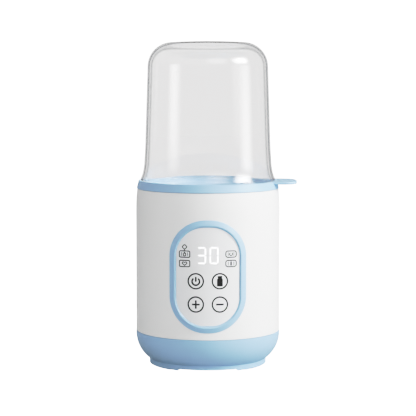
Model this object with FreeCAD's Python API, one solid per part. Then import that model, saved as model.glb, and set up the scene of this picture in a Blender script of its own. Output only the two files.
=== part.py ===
import FreeCAD, Part
import math
import os

# Bottle warmer: clear dome cover, lift-out basket, heated water chamber, touch panel and mains base.
# Millimetres, +Z up, the front with the control panel faces -Y and the basket's finger tab points to +X.
# The origin is on the table, on the axis of the round body. One STEP file is written for each sub-part.

V = FreeCAD.Vector
UP = V(0, 0, 1)
FRONT = V(0, -1, 0)
CENTRE = V(0, 0, 0)

# ---- Driving dimensions -------------------------------------------------------------------------
BODY_R = 59.0           # white outer shell
WALL = 2.4              # moulded walls of shell and base
BASE_R = 59.2           # blue base, a shade wider than the shell
SEAM_Z = 27.6           # where shell and base meet
SHELL_TOP_Z = 144.7
SHELL_TOP_R = 58.0
RING_TOP_Z = 151.4      # top land of the basket's ring
WELL_R = 38.6           # inside of the bottle basket
WELL_FLOOR_Z = 54.6
DOME_TOP_Z = 265.0
DOME_WALL = 2.0
TAB_TIP_X = 73.5        # finger tab of the basket

# ---- Base, feet and chassis ---------------------------------------------------------------------
FOOT_R = 48.1           # plinth under the bowl-shaped base
CREASE_Z = 4.74         # where bowl and plinth meet
PLINTH_Z = 1.7          # underside of the plinth between the feet
FOOT_Z = 0.3            # underside of the feet; the rubber pads reach the table
FOOT_INNER_R = 43.0
NOTCH_HALF_BOTTOM = 24.4
NOTCH_HALF_TOP = 22.6
PAD_INNER_R, PAD_OUTER_R, PAD_TOP_Z = 44.0, 47.0, 1.2
PAD_MIDDLE_DEG, PAD_SPAN_DEG = 33.0, 34.0
OPENING_R = 44.0        # service opening in the bottom of the base
PLATE_TOP_Z = 4.6
POST_XY = 25.5          # chassis posts and base screws stand on a square
POST_R = 4.0
CHASSIS_Z, CHASSIS_T, CHASSIS_R, CHASSIS_HOLE_R = 36.0, 2.2, 55.2, 31.0

# ---- Water chamber, collar and heater -----------------------------------------------------------
CUP_R, CUP_T = 41.6, 0.7
CUP_FLOOR_Z = 51.5
FLANGE_Z, FLANGE_R = 130.5, 45.8    # top of the cup's rolled flange
SEAL_T = 1.1
CLAMP_T = 2.0
CLAMP_SCREW_R = 49.5
HEATER_R, HEATER_T = 34.0, 3.6
PTC_X, PTC_Y, PTC_T = 40.0, 22.0, 6.0
BLADE_Z = CUP_FLOOR_Z - CUP_T - HEATER_T - 3.4      # underside of the heater's terminal blades
FUSE_R, FUSE_Y, FUSE_Z = 2.2, -15.0, BLADE_Z + 0.4

# ---- Control panel ------------------------------------------------------------------------------
PANEL_Z = 78.55         # middle of panel and bezel
BEZEL_HALF_W, BEZEL_HALF_H, BEZEL_CORNER = 30.5, 45.05, 28.0
LENS_HALF_W, LENS_HALF_H, LENS_CORNER = 25.2, 39.3, 21.5
BEZEL_R = 60.2          # crest of the bezel, proud of the shell
LENS_R = 59.2           # outer face of the panel
BOARD_Y, BOARD_T = 47.0, 1.6        # front face of the control board, ahead of the axis
KEY_X, KEY_UPPER_Z, KEY_LOWER_Z = 9.55, 75.2, 56.6
DIGIT_Z, DIGIT_H, DIGIT_W, DIGIT_PITCH = 95.7, 13.4, 7.1, 9.85
MODE_X, MODE_UPPER_Z, MODE_LOWER_Z = 18.4, 96.6, 89.1

# ---- Mains inlet and power board ----------------------------------------------------------------
INLET_Z = 45.0
INLET_FACE_Y = 60.6
PIN_R, PIN_PITCH = 1.2, 8.6
POWER_Z, POWER_X, POWER_Y = 12.0, 66.0, 42.0
STANDOFF_X, STANDOFF_Y = 29.0, 17.0
BOARD_TOP_Z = POWER_Z + 1.6
HEATER_SOCKET_H, SENSOR_SOCKET_H, MAINS_SOCKET_H = 8.0, 7.0, 9.0


# ---- Shape helpers ------------------------------------------------------------------------------
def rounded_wire(corners):
    """A closed wire through (point, radius) corners, with a tangent arc at every corner that has a radius."""
    starts, ends, arcs, runs = [], [], [], []
    count = len(corners)
    for i, (point, radius) in enumerate(corners):
        back = (corners[i - 1][0] - point).normalize()
        ahead = (corners[(i + 1) % count][0] - point).normalize()
        if radius <= 0:
            starts.append(point)
            ends.append(point)
            arcs.append(None)
            runs.append(0.0)
            continue
        half = back.getAngle(ahead) / 2
        run = radius / math.tan(half)
        middle = (back + ahead).normalize()
        nearest = point + middle * (radius / math.sin(half) - radius)
        starts.append(point + back * run)
        ends.append(point + ahead * run)
        arcs.append(nearest)
        runs.append(run)
    edges = []
    for i in range(count):
        side = (corners[(i + 1) % count][0] - corners[i][0]).Length
        if runs[i] + runs[(i + 1) % count] > side + 1e-6:
            raise ValueError(f"the arcs at corners {i} and {i + 1} meet: {corners[i]}")
        if arcs[i] is not None:
            edges.append(Part.Arc(starts[i], arcs[i], ends[i]).toShape())
        following = starts[(i + 1) % count]
        if (following - ends[i]).Length > 1e-6:
            edges.append(Part.LineSegment(ends[i], following).toShape())
    return Part.Wire(edges)


def turned(profile, degrees=360.0):
    """A solid of revolution about Z from (r, z) or (r, z, corner radius) points."""
    corners = [(V(p[0], 0, p[1]), p[2] if len(p) > 2 else 0.0) for p in profile]
    return Part.Face(rounded_wire(corners)).revolve(CENTRE, UP, degrees)


def turned_sector(profile, middle_deg, span_deg):
    """A part turn of a profile, centred on one direction in plan."""
    piece = turned(profile, span_deg)
    piece.rotate(CENTRE, UP, middle_deg - span_deg / 2)
    return piece


def box(x0, x1, y0, y1, z0, z1):
    return Part.makeBox(x1 - x0, y1 - y0, z1 - z0, V(x0, y0, z0))


def upright(x, y, z0, z1, radius):
    """A cylinder that stands along Z."""
    return Part.makeCylinder(radius, z1 - z0, V(x, y, z0), UP)


def forward(x, z, y_back, y_front, radius):
    """A cylinder along -Y; distances are measured ahead of the axis, towards the front."""
    return Part.makeCylinder(radius, y_front - y_back, V(x, -y_back, z), FRONT)


def oblong_front(half_w, half_h, corner, middle_z, y_back, y_front):
    """A rounded rectangle as seen from the front, running forward from y_back to y_front."""
    points = [(-half_w, -half_h), (half_w, -half_h), (half_w, half_h), (-half_w, half_h)]
    corners = [(V(x, -y_back, middle_z + z), corner) for x, z in points]
    return Part.Face(rounded_wire(corners)).extrude(FRONT * (y_front - y_back))


def between_radii(inner, outer, z0, z1):
    """A plain tube about Z, used to give plates the body's curve."""
    return Part.makeCylinder(outer, z1 - z0, V(0, 0, z0)).cut(Part.makeCylinder(inner, z1 - z0, V(0, 0, z0)))


def curved_plate(half_w, half_h, corner, inner_r, outer_r):
    """A rounded rectangle wrapped on the body's curve, with walls that run straight forward."""
    slab = oblong_front(half_w, half_h, corner, PANEL_Z, 30.0, 70.0)
    return slab.common(between_radii(inner_r, outer_r, 20.0, 140.0))


def four_ways(x, y):
    return [(sx * x, sy * y) for sx in (-1, 1) for sy in (-1, 1)]


def screw_up(x, y, z_seat, head_r, head_t, shank_r, length):
    """A pan-head screw driven upwards: the head hangs below z_seat."""
    head = upright(x, y, z_seat - head_t, z_seat, head_r)
    slot_w = head_r * 0.3
    reach = head_r * 0.62
    cross = box(x - reach, x + reach, y - slot_w / 2, y + slot_w / 2, z_seat - head_t, z_seat - head_t * 0.45)
    cross = cross.fuse(
        box(x - slot_w / 2, x + slot_w / 2, y - reach, y + reach, z_seat - head_t, z_seat - head_t * 0.45)
    )
    return head.cut(cross).fuse(upright(x, y, z_seat, z_seat + length, shank_r))


def screw_down(x, y, z_seat, head_r, head_t, shank_r, length):
    """The same screw driven downwards from z_seat."""
    screw = screw_up(x, y, z_seat, head_r, head_t, shank_r, length)
    return screw.mirror(V(0, 0, z_seat), UP)


def lead(points, radius):
    """A round wire along straight runs joined by tangent arcs as large as the runs allow."""
    path = [V(*p) for p in points]
    edges = []
    here = path[0]
    for i in range(1, len(path) - 1):
        back, ahead = path[i - 1] - path[i], path[i + 1] - path[i]
        shorter = min(back.Length, ahead.Length)
        back.normalize()
        ahead.normalize()
        run = 0.45 * shorter
        half = back.getAngle(ahead) / 2
        bend = run * math.tan(half)
        nearest = path[i] + (back + ahead).normalize() * (bend / math.sin(half) - bend)
        edges.append(Part.LineSegment(here, path[i] + back * run).toShape())
        edges.append(Part.Arc(path[i] + back * run, nearest, path[i] + ahead * run).toShape())
        here = path[i] + ahead * run
    edges.append(Part.LineSegment(here, path[-1]).toShape())
    section = Part.Wire(Part.makeCircle(radius, path[0], path[1] - path[0]))
    return Part.Wire(edges).makePipeShell([section], True, False)


# ---- Outside: shell, base, feet -----------------------------------------------------------------
def body_shell():
    """White tube with a soft inward turn at the top, a window for the panel and one for the inlet."""
    turn_z = 136.2
    lip_z = CHASSIS_Z - 0.1
    shell = turned([
        (BODY_R, SEAM_Z + 0.2, 0.3),
        (BODY_R, turn_z, 138.0),
        (SHELL_TOP_R, SHELL_TOP_Z, 0.3),
        (SHELL_TOP_R - 2.3, SHELL_TOP_Z, 0.4),
        (BODY_R - WALL, turn_z, 140.0),
        (BODY_R - WALL, lip_z),
        (BODY_R - WALL - 2.8, lip_z),
        (BODY_R - WALL - 2.8, lip_z - 1.4),
        (BODY_R - WALL, lip_z - 2.6),
        (BODY_R - WALL, SEAM_Z + 0.2),
    ])
    snap_groove = turned([(55.0, 137.5), (57.0, 137.5), (57.0, 139.5), (55.0, 139.5)])
    window = oblong_front(BEZEL_HALF_W - 1.5, BEZEL_HALF_H - 1.5, BEZEL_CORNER - 1.5, PANEL_Z, 30.0, 70.0)
    return shell.cut(snap_groove).cut(window).cut(inlet_prism(11.1, 5.8, 48.0, 66.0))


def base_shell():
    """Blue bowl with a tongue that locates inside the white shell and a round service opening."""
    bowl_r = 25.9
    return turned([
        (BASE_R, SEAM_Z, 0.3),
        (BASE_R, 12.66, bowl_r),
        (FOOT_R, CREASE_Z),
        (OPENING_R, CREASE_Z),
        (OPENING_R, 7.4),
        (47.0, 7.4),
        (BASE_R - WALL, 14.2, bowl_r - WALL - 1.5),
        (BASE_R - WALL, 26.1),
        (54.4, 26.9),
        (54.4, 32.6, 0.4),
        (56.4, 32.6, 0.4),
        (56.4, SEAM_Z),
    ])


def foot_pads():
    """Four arc-shaped rubber strips under the two feet; they stand on the table."""
    strip = [(PAD_INNER_R, 0), (PAD_OUTER_R, 0), (PAD_OUTER_R, PAD_TOP_Z), (PAD_INNER_R, PAD_TOP_Z)]
    middles = [PAD_MIDDLE_DEG, -PAD_MIDDLE_DEG, 180 - PAD_MIDDLE_DEG, 180 + PAD_MIDDLE_DEG]
    return [turned_sector(strip, middle, PAD_SPAN_DEG) for middle in middles]


def base_plate():
    """Bottom cover with the plinth, two long side feet, screw seats, board standoffs and a label recess."""
    plate = turned([
        (0, 2.6),
        (FOOT_INNER_R, 2.6),
        (FOOT_INNER_R, FOOT_Z),
        (FOOT_R, FOOT_Z, 0.7),
        (FOOT_R, CREASE_Z),
        (OPENING_R - 0.2, CREASE_Z),
        (OPENING_R - 0.2, 6.4, 0.4),
        (42.2, 6.4),
        (42.2, PLATE_TOP_Z),
        (0, PLATE_TOP_Z),
    ])
    notch = Part.makePolygon([
        V(-NOTCH_HALF_BOTTOM, 60, FOOT_Z - 0.2),
        V(NOTCH_HALF_BOTTOM, 60, FOOT_Z - 0.2),
        V(NOTCH_HALF_TOP, 60, PLINTH_Z),
        V(-NOTCH_HALF_TOP, 60, PLINTH_Z),
        V(-NOTCH_HALF_BOTTOM, 60, FOOT_Z - 0.2),
    ])
    plate = plate.cut(Part.Face(notch).extrude(FRONT * 120))
    for pad in foot_pads():
        plate = plate.cut(pad)
    for x, y in four_ways(STANDOFF_X, STANDOFF_Y):
        plate = plate.fuse(upright(x, y, PLATE_TOP_Z - 0.5, POWER_Z, 2.8))
        plate = plate.cut(upright(x, y, 6.5, POWER_Z + 1, 1.1))
    for x, y in four_ways(POST_XY, POST_XY):
        plate = plate.cut(upright(x, y, 0, 3.2, 3.5)).cut(upright(x, y, 0, 6, 1.5))
    plate = plate.cut(box(-21, 21, -13, 13, 0, 2.9))
    for i in range(5):
        x = -12.0 + 6.0 * i
        plate = plate.cut(box(x - 1.2, x + 1.2, 22, 33, 0, 6))
    return plate


def rating_label():
    """Blank label in the recess of the base plate."""
    label = [(V(x, y, 2.65), 2.0) for x, y in ((-20.5, -12.5), (20.5, -12.5), (20.5, 12.5), (-20.5, 12.5))]
    return Part.Face(rounded_wire(label)).extrude(V(0, 0, 0.25))


def base_screws():
    """Four screws that clamp base plate and bowl to the chassis posts."""
    return [screw_up(x, y, 3.2, 3.0, 1.8, 1.2, 14.0) for x, y in four_ways(POST_XY, POST_XY)]


def chassis():
    """Ring that sits on the shell's inner lip, with four posts down to the base plate and a cable slot."""
    frame = turned([
        (CHASSIS_HOLE_R, CHASSIS_Z),
        (CHASSIS_R, CHASSIS_Z),
        (CHASSIS_R, CHASSIS_Z + CHASSIS_T, 0.5),
        (CHASSIS_HOLE_R, CHASSIS_Z + CHASSIS_T),
    ])
    frame = frame.fuse(between_radii(CHASSIS_HOLE_R, CHASSIS_HOLE_R + 1.6, CHASSIS_Z - 4, CHASSIS_Z + 1))
    for x, y in four_ways(POST_XY, POST_XY):
        frame = frame.fuse(upright(x, y, CREASE_Z + 0.06, CHASSIS_Z + 1, POST_R))
        frame = frame.cut(upright(x, y, CREASE_Z, 22.0, 1.25))
    return frame.cut(box(-7, 7, -46, -38, CHASSIS_Z - 1, CHASSIS_Z + 5))


# ---- Basket and dome ----------------------------------------------------------------------------
def lift_basket():
    """Lift-out basket: tapered top ring with the dome's seat, funnel, slotted cage, floor and finger tab."""
    ring_r = 58.5
    basket = turned([
        (ring_r, SHELL_TOP_Z + 0.2, 0.3),
        (56.9, RING_TOP_Z, 0.5),
        (55.65, RING_TOP_Z, 0.3),
        (55.6, 149.5),
        (53.1, 149.5, 0.4),
        (52.6, 144.6, 6.0),
        (WELL_R, 134.2, 4.0),
        (WELL_R, WELL_FLOOR_Z, 1.0),
        (11.0, WELL_FLOOR_Z, 0.5),
        (11.0, WELL_FLOOR_Z - 1.8),
        (WELL_R + 1.6, WELL_FLOOR_Z - 1.8, 1.6),
        (WELL_R + 1.6, 133.27, 3.0),
        (54.2, 143.67),
        (54.2, 147.6, 0.6),
        (56.1, 147.6, 0.6),
        (56.9, SHELL_TOP_Z + 0.2),
    ])
    basket = basket.fuse(finger_tab())
    for i in range(8):
        basket = basket.cut(cage_slot(22.5 + 45.0 * i))
        basket = basket.cut(floor_slot(45.0 * i))
    return basket


def cage_slot(direction_deg):
    """Upright water slot with round ends through the cage wall."""
    half_w, low, high = 3.2, 64.0, 122.0
    slot = box(30, 50, -half_w, half_w, low, high)
    for z in (low, high):
        slot = slot.fuse(Part.makeCylinder(half_w, 20, V(30, 0, z), V(1, 0, 0)))
    slot.rotate(CENTRE, UP, direction_deg)
    return slot


def floor_slot(direction_deg):
    """Drain slot in the basket floor."""
    slot = box(16, 31, -1.6, 1.6, 50, 60)
    for x in (16, 31):
        slot = slot.fuse(upright(x, 0, 50, 60, 1.6))
    slot.rotate(CENTRE, UP, direction_deg)
    return slot


def finger_tab():
    """Wide flat ear, rounded in plan, that joins the ring at its top edge."""
    top, thick, half_w, root_x = RING_TOP_Z - 0.25, 2.3, 21.0, 50.0
    plan = [
        (V(root_x, -half_w, top - thick), 0),
        (V(TAB_TIP_X - 1.6, -half_w, top - thick), 12.0),
        (V(TAB_TIP_X, 0, top - thick), 60.0),
        (V(TAB_TIP_X - 1.6, half_w, top - thick), 12.0),
        (V(root_x, half_w, top - thick), 0),
    ]
    tab = Part.Face(rounded_wire(plan)).extrude(V(0, 0, thick))
    rim = [e for e in tab.Edges if abs(e.BoundBox.ZLength) < 1e-6 and e.BoundBox.XMax > root_x + 1]
    tab = tab.makeFillet(0.95, rim)
    return tab.cut(Part.makeCylinder(56.0, 20, V(0, 0, 140)))


def dome_cover():
    """Clear cover: a rim in the ring's seat, a flared skirt, gently tapered side and crowned top."""
    rim_r, rim_z = 55.3, 149.7
    flare = [(rim_r, 152.4, 0.9), (53.72, 156.3, 24.0), (52.35, 163.0, 58.0), (51.45, 178.0, 300.0)]
    side_top_r, shoulder, crown_r = 48.65, 20.0, 490.0
    shoulder_z = DOME_TOP_Z - 0.9
    t = DOME_WALL
    outside = [(rim_r, rim_z, 0.5)] + flare + [(side_top_r, shoulder_z, shoulder), (0, shoulder_z)]
    inside = [(rim_r - t, rim_z, 0.5)] + [(r - t, z, corner * 0.95) for r, z, corner in flare]
    inside += [(side_top_r - t, shoulder_z - t, shoulder - t), (0, shoulder_z - t)]
    dome = turned(outside + inside[::-1])
    crown = Part.makeSphere(crown_r, V(0, 0, DOME_TOP_Z - crown_r))
    crown = crown.common(upright(0, 0, shoulder_z - 0.6, DOME_TOP_Z + 1, side_top_r - shoulder + 2.0))
    return dome.fuse(crown).removeSplitter()


# ---- Control panel ------------------------------------------------------------------------------
def panel_bezel():
    """Blue oval frame: a proud flange over the shell and a sleeve through its window."""
    flange = curved_plate(BEZEL_HALF_W, BEZEL_HALF_H, BEZEL_CORNER, BODY_R + 0.02, BEZEL_R)
    opening = oblong_front(LENS_HALF_W, LENS_HALF_H, LENS_CORNER, PANEL_Z, 30.0, 70.0)
    sleeve = curved_plate(BEZEL_HALF_W - 1.6, BEZEL_HALF_H - 1.6, BEZEL_CORNER - 1.6, 57.2, BODY_R + 0.3)
    return flange.fuse(sleeve).cut(opening)


def control_panel():
    """White lens plate with a rear flange behind the bezel and four posts for the control board."""
    lens = curved_plate(LENS_HALF_W - 0.1, LENS_HALF_H - 0.1, LENS_CORNER - 0.1, 56.9, LENS_R)
    flange = curved_plate(LENS_HALF_W + 2.8, LENS_HALF_H + 2.8, LENS_CORNER + 2.8, 55.4, 57.1)
    pocket = curved_plate(22.9, 36.0, 17.0, 50.0, 57.0)
    panel = lens.fuse(flange).cut(pocket)
    for x, z in four_ways(13.0, 31.0):
        post = forward(x, PANEL_Z + z, BOARD_Y, 56.2, 2.4)
        panel = panel.fuse(post).cut(forward(x, PANEL_Z + z, BOARD_Y - 1, BOARD_Y + 5.5, 0.9))
    return panel


def control_board():
    """Circuit board behind the panel."""
    board = oblong_front(23.0, 35.0, 4.0, PANEL_Z - 1.0, BOARD_Y - BOARD_T, BOARD_Y)
    for x, z in four_ways(13.0, 31.0):
        board = board.cut(forward(x, PANEL_Z + z, 40, 50, 1.2))
    return board


def control_board_screws():
    """Four small screws from behind the board into the panel's posts."""
    screws = []
    for x, z in four_ways(13.0, 31.0):
        head = forward(x, PANEL_Z + z, BOARD_Y - BOARD_T - 1.4, BOARD_Y - BOARD_T, 2.0)
        shank = forward(x, PANEL_Z + z, BOARD_Y - BOARD_T, BOARD_Y + 4.5, 0.85)
        screws.append(head.fuse(shank))
    return Part.makeCompound(screws)


def display_module():
    """Two-digit display block with a recess for each light bar."""
    block = oblong_front(11.5, 9.3, 0.8, DIGIT_Z, BOARD_Y, BOARD_Y + 7.3)
    return block.cut(digit_segments(0.05))


def digit_segments(grow=0.0):
    """Fourteen hexagonal light bars, seven for each digit."""
    half_w, half_h, bar = DIGIT_W / 2 - 0.7, DIGIT_H / 2 - 0.7, 0.7
    places = [(0, half_h, False), (0, 0, False), (0, -half_h, False)]
    places += [(sx * half_w, sz * half_h / 2, True) for sx in (-1, 1) for sz in (-1, 1)]
    bars = []
    for digit_x in (-DIGIT_PITCH / 2, DIGIT_PITCH / 2):
        for x, z, is_upright in places:
            reach = (half_h / 2 if is_upright else half_w) - 0.25
            half = bar - 0.1 + grow
            tip = reach + grow
            shoulder = tip - bar
            outline = [(-tip, 0), (-shoulder, -half), (shoulder, -half)]
            outline += [(-along, -across) for along, across in outline]
            corners = []
            for along, across in outline:
                dx, dz = (across, along) if is_upright else (along, across)
                corners.append(V(digit_x + x + dx, -(BOARD_Y + 6.6), DIGIT_Z + z + dz))
            face = Part.Face(Part.makePolygon(corners + corners[:1]))
            bars.append(face.extrude(FRONT * (1.0 + grow)))
    return Part.makeCompound(bars)


def mode_light_guides():
    """Four clear blocks that carry light from the board to the mode symbols."""
    guides = []
    for x in (-MODE_X, MODE_X):
        for z in (MODE_UPPER_Z, MODE_LOWER_Z):
            guides.append(box(x - 3.8, x + 3.8, -(BOARD_Y + 5.2), -BOARD_Y, z - 2.5, z + 2.5))
    return Part.makeCompound(guides)


def touch_springs():
    """Four coil springs, each with a contact disc, that couple the board to the touch keys."""
    wire_r, coil_r, pitch, turns, steps = 0.35, 3.1, 1.7, 4, 10
    springs = []
    for x in (-KEY_X, KEY_X):
        for z in (KEY_UPPER_Z, KEY_LOWER_Z):
            back = BOARD_Y + wire_r + 0.05
            coil = []
            for i in range(turns * steps + 1):
                turn = 2 * math.pi * i / steps
                ahead = back + pitch * i / steps
                coil.append((x + coil_r * math.cos(turn), -ahead, z + coil_r * math.sin(turn)))
            disc_back = back + pitch * turns + 0.6
            disc = forward(x, z, disc_back, disc_back + 0.25, 3.4)
            springs.append(Part.makeCompound([lead(coil, wire_r), disc]))
    return springs


def control_chip():
    return box(-4.5, 4.5, -(BOARD_Y + 1.5), -BOARD_Y, 61.0, 70.0)


def buzzer():
    """Round sounder on the lower edge of the board, with its sound hole."""
    can = forward(0, 48.6, BOARD_Y, BOARD_Y + 6.0, 4.5)
    return can.cut(forward(0, 48.6, BOARD_Y + 4.5, BOARD_Y + 7.0, 1.0))


def board_connector():
    """Cable socket at the back of the control board, below the chamber."""
    return box(-5.5, 5.5, -(BOARD_Y - BOARD_T), -(BOARD_Y - BOARD_T - 4.4), 44.5, 49.0)


# ---- Water chamber and heater -------------------------------------------------------------------
def water_chamber():
    """Pressed steel cup with a flat flange."""
    outer = CUP_R + CUP_T
    return turned([
        (0, CUP_FLOOR_Z - CUP_T),
        (outer, CUP_FLOOR_Z - CUP_T, 5.7),
        (outer, FLANGE_Z - CUP_T),
        (FLANGE_R, FLANGE_Z - CUP_T),
        (FLANGE_R, FLANGE_Z),
        (CUP_R, FLANGE_Z, 0.5),
        (CUP_R, CUP_FLOOR_Z, 5.0),
        (0, CUP_FLOOR_Z),
    ])


def chamber_seal():
    """Flat silicone ring between cup flange and collar."""
    return turned([
        (42.4, FLANGE_Z),
        (FLANGE_R, FLANGE_Z),
        (FLANGE_R, FLANGE_Z + SEAL_T),
        (42.4, FLANGE_Z + SEAL_T),
    ])


def chamber_collar():
    """Funnel ring that closes the gap between cup and shell and snaps into the shell's mouth."""
    low = FLANGE_Z + SEAL_T
    collar = turned([
        (42.2, low),
        (46.4, low),
        (46.4, low + 2.75),
        (53.4, 139.55),
        (53.4, 136.0),
        (55.5, 136.0),
        (55.5, 137.7),
        (56.7, 138.5),
        (55.5, 139.3),
        (55.5, 144.3, 0.4),
        (54.8, 144.3),
        (54.8, 143.34, 0.6),
        (42.2, 133.97, 0.8),
    ])
    for x, y in clamp_screw_places():
        post = upright(x, y, FLANGE_Z - CUP_T + 0.2, 138.0, 2.6)
        roof = turned([(42.2, 130.0), (54.8, 130.0), (54.8, 143.2), (42.2, 133.8)])
        collar = collar.fuse(post.common(roof))
        collar = collar.cut(upright(x, y, 129.0, 135.0, 1.1))
    return collar


def clamp_screw_places():
    at = CLAMP_SCREW_R / math.sqrt(2)
    return four_ways(at, at)


def chamber_clamp_ring():
    """Ring under the cup's flange that presses it and the seal against the collar."""
    top = FLANGE_Z - CUP_T
    ring = turned([(43.2, top - CLAMP_T), (52.4, top - CLAMP_T), (52.4, top), (43.2, top)])
    for x, y in clamp_screw_places():
        ring = ring.cut(upright(x, y, top - 5, top + 5, 1.5))
    return ring


def clamp_ring_screws():
    seat = FLANGE_Z - CUP_T - CLAMP_T
    return Part.makeCompound([screw_up(x, y, seat, 2.4, 1.5, 1.0, 6.5) for x, y in clamp_screw_places()])


def heater_plate():
    """Aluminium heat spreader under the cup."""
    top = CUP_FLOOR_Z - CUP_T
    plate = turned([(0, top - HEATER_T), (HEATER_R, top - HEATER_T, 0.8), (HEATER_R, top, 0.8), (0, top)])
    for y in (-16, 16):
        plate = plate.cut(upright(0, y, top - HEATER_T - 1, top - 0.6, 1.5))
    return plate


def ptc_heater():
    """Flat self-regulating heater with a terminal blade at each end."""
    top = CUP_FLOOR_Z - CUP_T - HEATER_T
    block = box(-PTC_X / 2, PTC_X / 2, -PTC_Y / 2, PTC_Y / 2, top - PTC_T, top)
    for side in (-1, 1):
        x0, x1 = sorted((side * (PTC_X / 2 - 1), side * (PTC_X / 2 + 5)))
        block = block.fuse(box(x0, x1, -2.4, 2.4, BLADE_Z, BLADE_Z + 0.8))
    return block


def heater_bracket():
    """Spring-steel strap that holds the heater against the plate."""
    top, t = CUP_FLOOR_Z - CUP_T - HEATER_T, 1.1
    low = top - PTC_T
    inner, outer, reach = PTC_Y / 2 + 0.2, PTC_Y / 2 + 0.2 + t, 20.0
    foot = [(inner, low), (inner, top), (reach, top), (reach, top - t), (outer, top - t), (outer, low - t)]
    outline = foot + [(-y, z) for y, z in reversed(foot)]
    points = [V(-8, y, z) for y, z in outline]
    strap = Part.Face(Part.makePolygon(points + points[:1])).extrude(V(16, 0, 0))
    for y in (-16, 16):
        strap = strap.cut(upright(0, y, top - 5, top + 5, 1.6))
    return strap


def heater_screws():
    seat = CUP_FLOOR_Z - CUP_T - HEATER_T - 1.1
    return Part.makeCompound([screw_up(0, y, seat, 2.7, 1.7, 1.35, 3.8) for y in (-16, 16)])


def temperature_sensor():
    """Bead sensor in a metal can, pressed against the heat spreader."""
    top = CUP_FLOOR_Z - CUP_T - HEATER_T
    return upright(27.5, 8.0, top - 7.0, top, 2.4).fuse(upright(27.5, 8.0, top - 1.0, top, 3.4))


def thermal_fuse():
    """One-shot fuse under the heat spreader, in one of the heater's leads."""
    return Part.makeCylinder(FUSE_R, 14, V(12, FUSE_Y, FUSE_Z), V(1, 0, 0))


def fuse_clip():
    top = CUP_FLOOR_Z - CUP_T - HEATER_T
    clip = box(17, 21, FUSE_Y - 3.1, FUSE_Y + 3.1, FUSE_Z - 3.1, top)
    return clip.cut(Part.makeCylinder(FUSE_R + 0.05, 14, V(12, FUSE_Y, FUSE_Z), V(1, 0, 0)))


# ---- Mains inlet, power board and wiring --------------------------------------------------------
def inlet_prism(half_w, half_h, y_inner, y_outer):
    """A stadium outline at the back of the body, running along +Y."""
    points = [(-half_w, -half_h), (half_w, -half_h), (half_w, half_h), (-half_w, half_h)]
    corners = [(V(x, y_inner, INLET_Z + z), half_h - 0.2) for x, z in points]
    return Part.Face(rounded_wire(corners)).extrude(V(0, y_outer - y_inner, 0))


def rearward(x, y_inner, y_outer, radius):
    return Part.makeCylinder(radius, y_outer - y_inner, V(x, y_inner, INLET_Z), V(0, 1, 0))


def mains_inlet():
    """Two-pole appliance inlet: a flange on the shell, a deep figure-of-eight socket and a closed back."""
    outline = [(-13, -7.4), (13, -7.4), (13, 7.4), (-13, 7.4)]
    flange_wire = rounded_wire([(V(x, 55, INLET_Z + z), 3.5) for x, z in outline])
    flange = Part.Face(flange_wire).extrude(V(0, INLET_FACE_Y - 55, 0))
    flange = flange.cut(Part.makeCylinder(BODY_R + 0.04, 60, V(0, 0, 20)))
    outer_edge = [e for e in flange.Edges if e.BoundBox.YMin > INLET_FACE_Y - 0.01]
    flange = flange.makeFillet(0.5, outer_edge)
    inlet = flange.fuse(inlet_prism(10.9, 5.6, 42.5, INLET_FACE_Y - 0.6))
    for x in (-PIN_PITCH / 2, PIN_PITCH / 2):
        inlet = inlet.cut(rearward(x, 47.5, 62, 3.9))
        inlet = inlet.cut(rearward(x, 40, 62, PIN_R + 0.02))
    return inlet.cut(box(-PIN_PITCH / 2, PIN_PITCH / 2, 47.5, 62, INLET_Z - 2.9, INLET_Z + 2.9))


def inlet_pins():
    """Two round contact pins with solder tails."""
    pins = []
    for x in (-PIN_PITCH / 2, PIN_PITCH / 2):
        pin = rearward(x, 42.5, 57.5, PIN_R)
        nose = [e for e in pin.Edges if e.BoundBox.YMin > 57]
        pins.append(pin.makeFillet(0.8, nose).fuse(rearward(x, 38.0, 42.6, 0.8)))
    return pins


def power_board():
    """Mains circuit board on the base plate's standoffs."""
    x, y = POWER_X / 2, POWER_Y / 2
    corners = [(V(x * sx, y * sy, POWER_Z), 2.0) for sx, sy in ((-1, -1), (1, -1), (1, 1), (-1, 1))]
    board = Part.Face(rounded_wire(corners)).extrude(V(0, 0, BOARD_TOP_Z - POWER_Z))
    for x, y in four_ways(STANDOFF_X, STANDOFF_Y):
        board = board.cut(upright(x, y, 10, 16, 1.3))
    return board


def power_board_screws():
    places = four_ways(STANDOFF_X, STANDOFF_Y)
    return Part.makeCompound([screw_down(x, y, BOARD_TOP_Z, 2.3, 1.4, 1.0, 6.0) for x, y in places])


def power_relay():
    return box(-24, -5, 1.5, 17, BOARD_TOP_Z, BOARD_TOP_Z + 15.5)


def transformer_coil():
    z = BOARD_TOP_Z
    return box(0, 14, 2, 15, z, z + 14)


def transformer_core():
    """Ferrite frame around the wound coil."""
    z = BOARD_TOP_Z
    return box(-1.5, 15.5, 5, 12, z + 2, z + 16).cut(transformer_coil())


def filter_capacitor():
    return upright(21.5, 13.5, BOARD_TOP_Z, BOARD_TOP_Z + 18.0, 5.0)


def film_capacitor():
    return box(8, 22, -9, -3, BOARD_TOP_Z, BOARD_TOP_Z + 11.5)


def heater_triac():
    """Electronic switch for the heater."""
    return box(-25, -15, -8.5, -4.5, BOARD_TOP_Z, BOARD_TOP_Z + 12)


def triac_heat_sink():
    """Aluminium plate with three fins behind the heater's switch."""
    plate = box(-27, -13, -4.5, -3.2, BOARD_TOP_Z, BOARD_TOP_Z + 19)
    for x in (-26.5, -20.5, -14.5):
        plate = plate.fuse(box(x, x + 1.0, -3.3, -0.2, BOARD_TOP_Z, BOARD_TOP_Z + 19))
    return plate


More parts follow.
